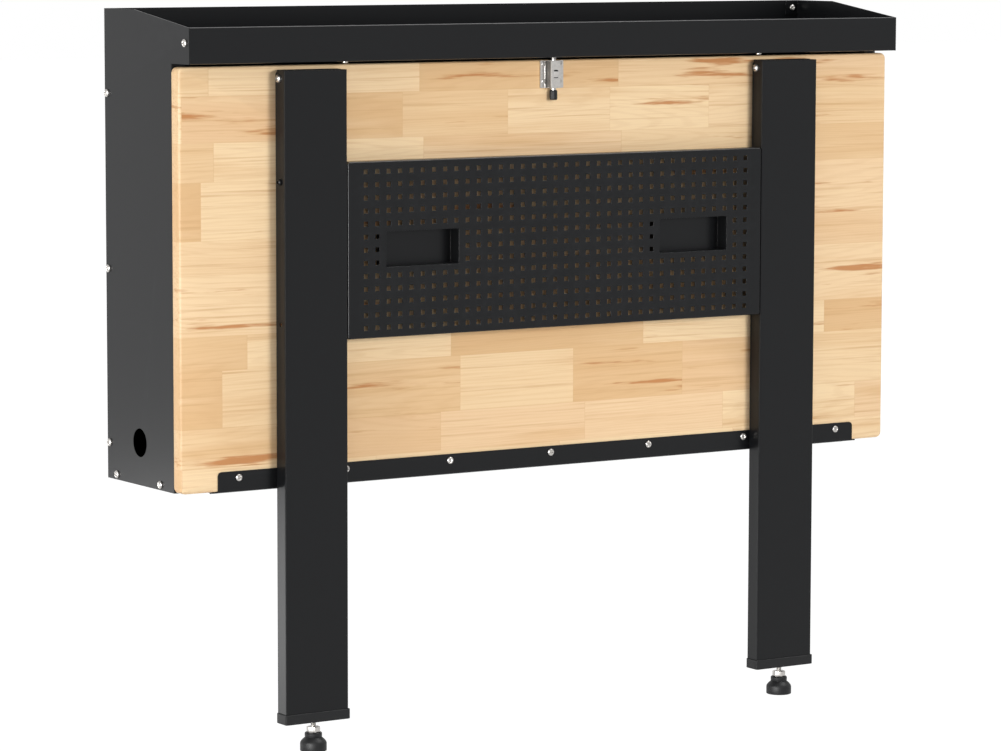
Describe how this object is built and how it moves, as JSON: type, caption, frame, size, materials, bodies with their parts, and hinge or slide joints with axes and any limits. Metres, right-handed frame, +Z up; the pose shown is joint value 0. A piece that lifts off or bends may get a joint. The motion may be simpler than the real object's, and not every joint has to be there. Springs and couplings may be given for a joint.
{
  "type": "wall mounted folding workbench",
  "caption": "Wall mounted folding workbench with a black steel cabinet and tray, a solid wood drop-down top and a hinged leg frame with a perforated panel.",
  "frame": {"origin": "middle of the back panel's rear face, on the wall", "axes": "+X to the right along the wall, +Y into the wall, +Z up"},
  "size_m": [1.2068, 0.2521, 1.0296],
  "materials": {
    "black_coat": "satin black powder coat",
    "wood": "oiled solid staves, edge glued",
    "zinc": "bright zinc plating",
    "black_plastic": "fine matt moulding grain",
    "black_screw": "black oxide"
  },
  "bodies": {
    "cabinet": {"back_panel": "black_coat", "left_side_panel": "black_coat", "right_side_panel": "black_coat", "bottom_panel": "black_coat", "tray": "black_coat", "cabinet_hinge_leaf": "black_coat", "left_side_screw_1": "zinc", "left_side_screw_2": "zinc", "left_side_screw_3": "zinc", "left_side_screw_4": "zinc", "left_side_screw_5": "zinc", "left_side_screw_6": "zinc", "right_side_screw_1": "zinc", "right_side_screw_2": "zinc", "right_side_screw_3": "zinc", "right_side_screw_4": "zinc", "right_side_screw_5": "zinc", "right_side_screw_6": "zinc", "left_back_bolt": "zinc", "right_back_bolt": "zinc"},
    "worktop": {"worktop_board": "wood", "worktop_hinge_strip": "black_coat", "hinge_pin": "zinc", "left_leg_bracket": "zinc", "right_leg_bracket": "zinc", "latch_housing": "zinc", "strip_screw_1": "zinc", "strip_screw_2": "zinc", "strip_screw_3": "zinc", "strip_screw_4": "zinc", "strip_screw_5": "zinc", "strip_screw_6": "zinc", "strip_screw_7": "zinc"},
    "latch": {"latch_bolt": "zinc", "latch_nut": "zinc", "latch_knob": "black_plastic", "latch_spring": "zinc"},
    "leg_frame": {"left_leg": "black_coat", "right_leg": "black_coat", "perforated_panel": "black_coat", "left_grip_pocket": "black_coat", "right_grip_pocket": "black_coat", "left_leg_cap": "black_plastic", "right_leg_cap": "black_plastic", "left_outer_pivot_bolt": "zinc", "left_inner_pivot_bolt": "zinc", "right_outer_pivot_bolt": "zinc", "right_inner_pivot_bolt": "zinc", "left_panel_bolt_1": "zinc", "left_panel_bolt_2": "zinc", "right_panel_bolt_1": "zinc", "right_panel_bolt_2": "zinc", "left_leg_screw": "black_screw", "right_leg_screw": "black_screw"},
    "left_foot": {"left_foot_pad": "black_plastic", "left_foot_stud": "zinc"},
    "right_foot": {"right_foot_pad": "black_plastic", "right_foot_stud": "zinc"}
  },
  "joints": [
    {"name": "worktop_fold", "type": "hinge", "parent": "cabinet", "child": "worktop", "pos_m": [0, -0.1972, -0.331], "axis": [1, 0, 0], "range_deg": [0, 90]},
    {"name": "leg_fold", "type": "hinge", "parent": "worktop", "child": "leg_frame", "pos_m": [0, -0.2314, 0.236], "axis": [-1, 0, 0], "range_deg": [0, 90]},
    {"name": "latch_slide", "type": "slide", "parent": "worktop", "child": "latch", "axis": [0, 0, -1], "range_m": [0, 0.01], "stiffness_N_per_m": 200, "springref_m": -0.01, "deforming": ["latch_spring"]},
    {"name": "left_foot_height", "type": "slide", "parent": "leg_frame", "child": "left_foot", "axis": [0, 0, -1], "range_m": [-0.006, 0.015]},
    {"name": "right_foot_height", "type": "slide", "parent": "leg_frame", "child": "right_foot", "axis": [0, 0, -1], "range_m": [-0.006, 0.015]}
  ],
  "couplings": [
    {"joint": "leg_fold", "follows": "worktop_fold", "ratio": 1}
  ]
}
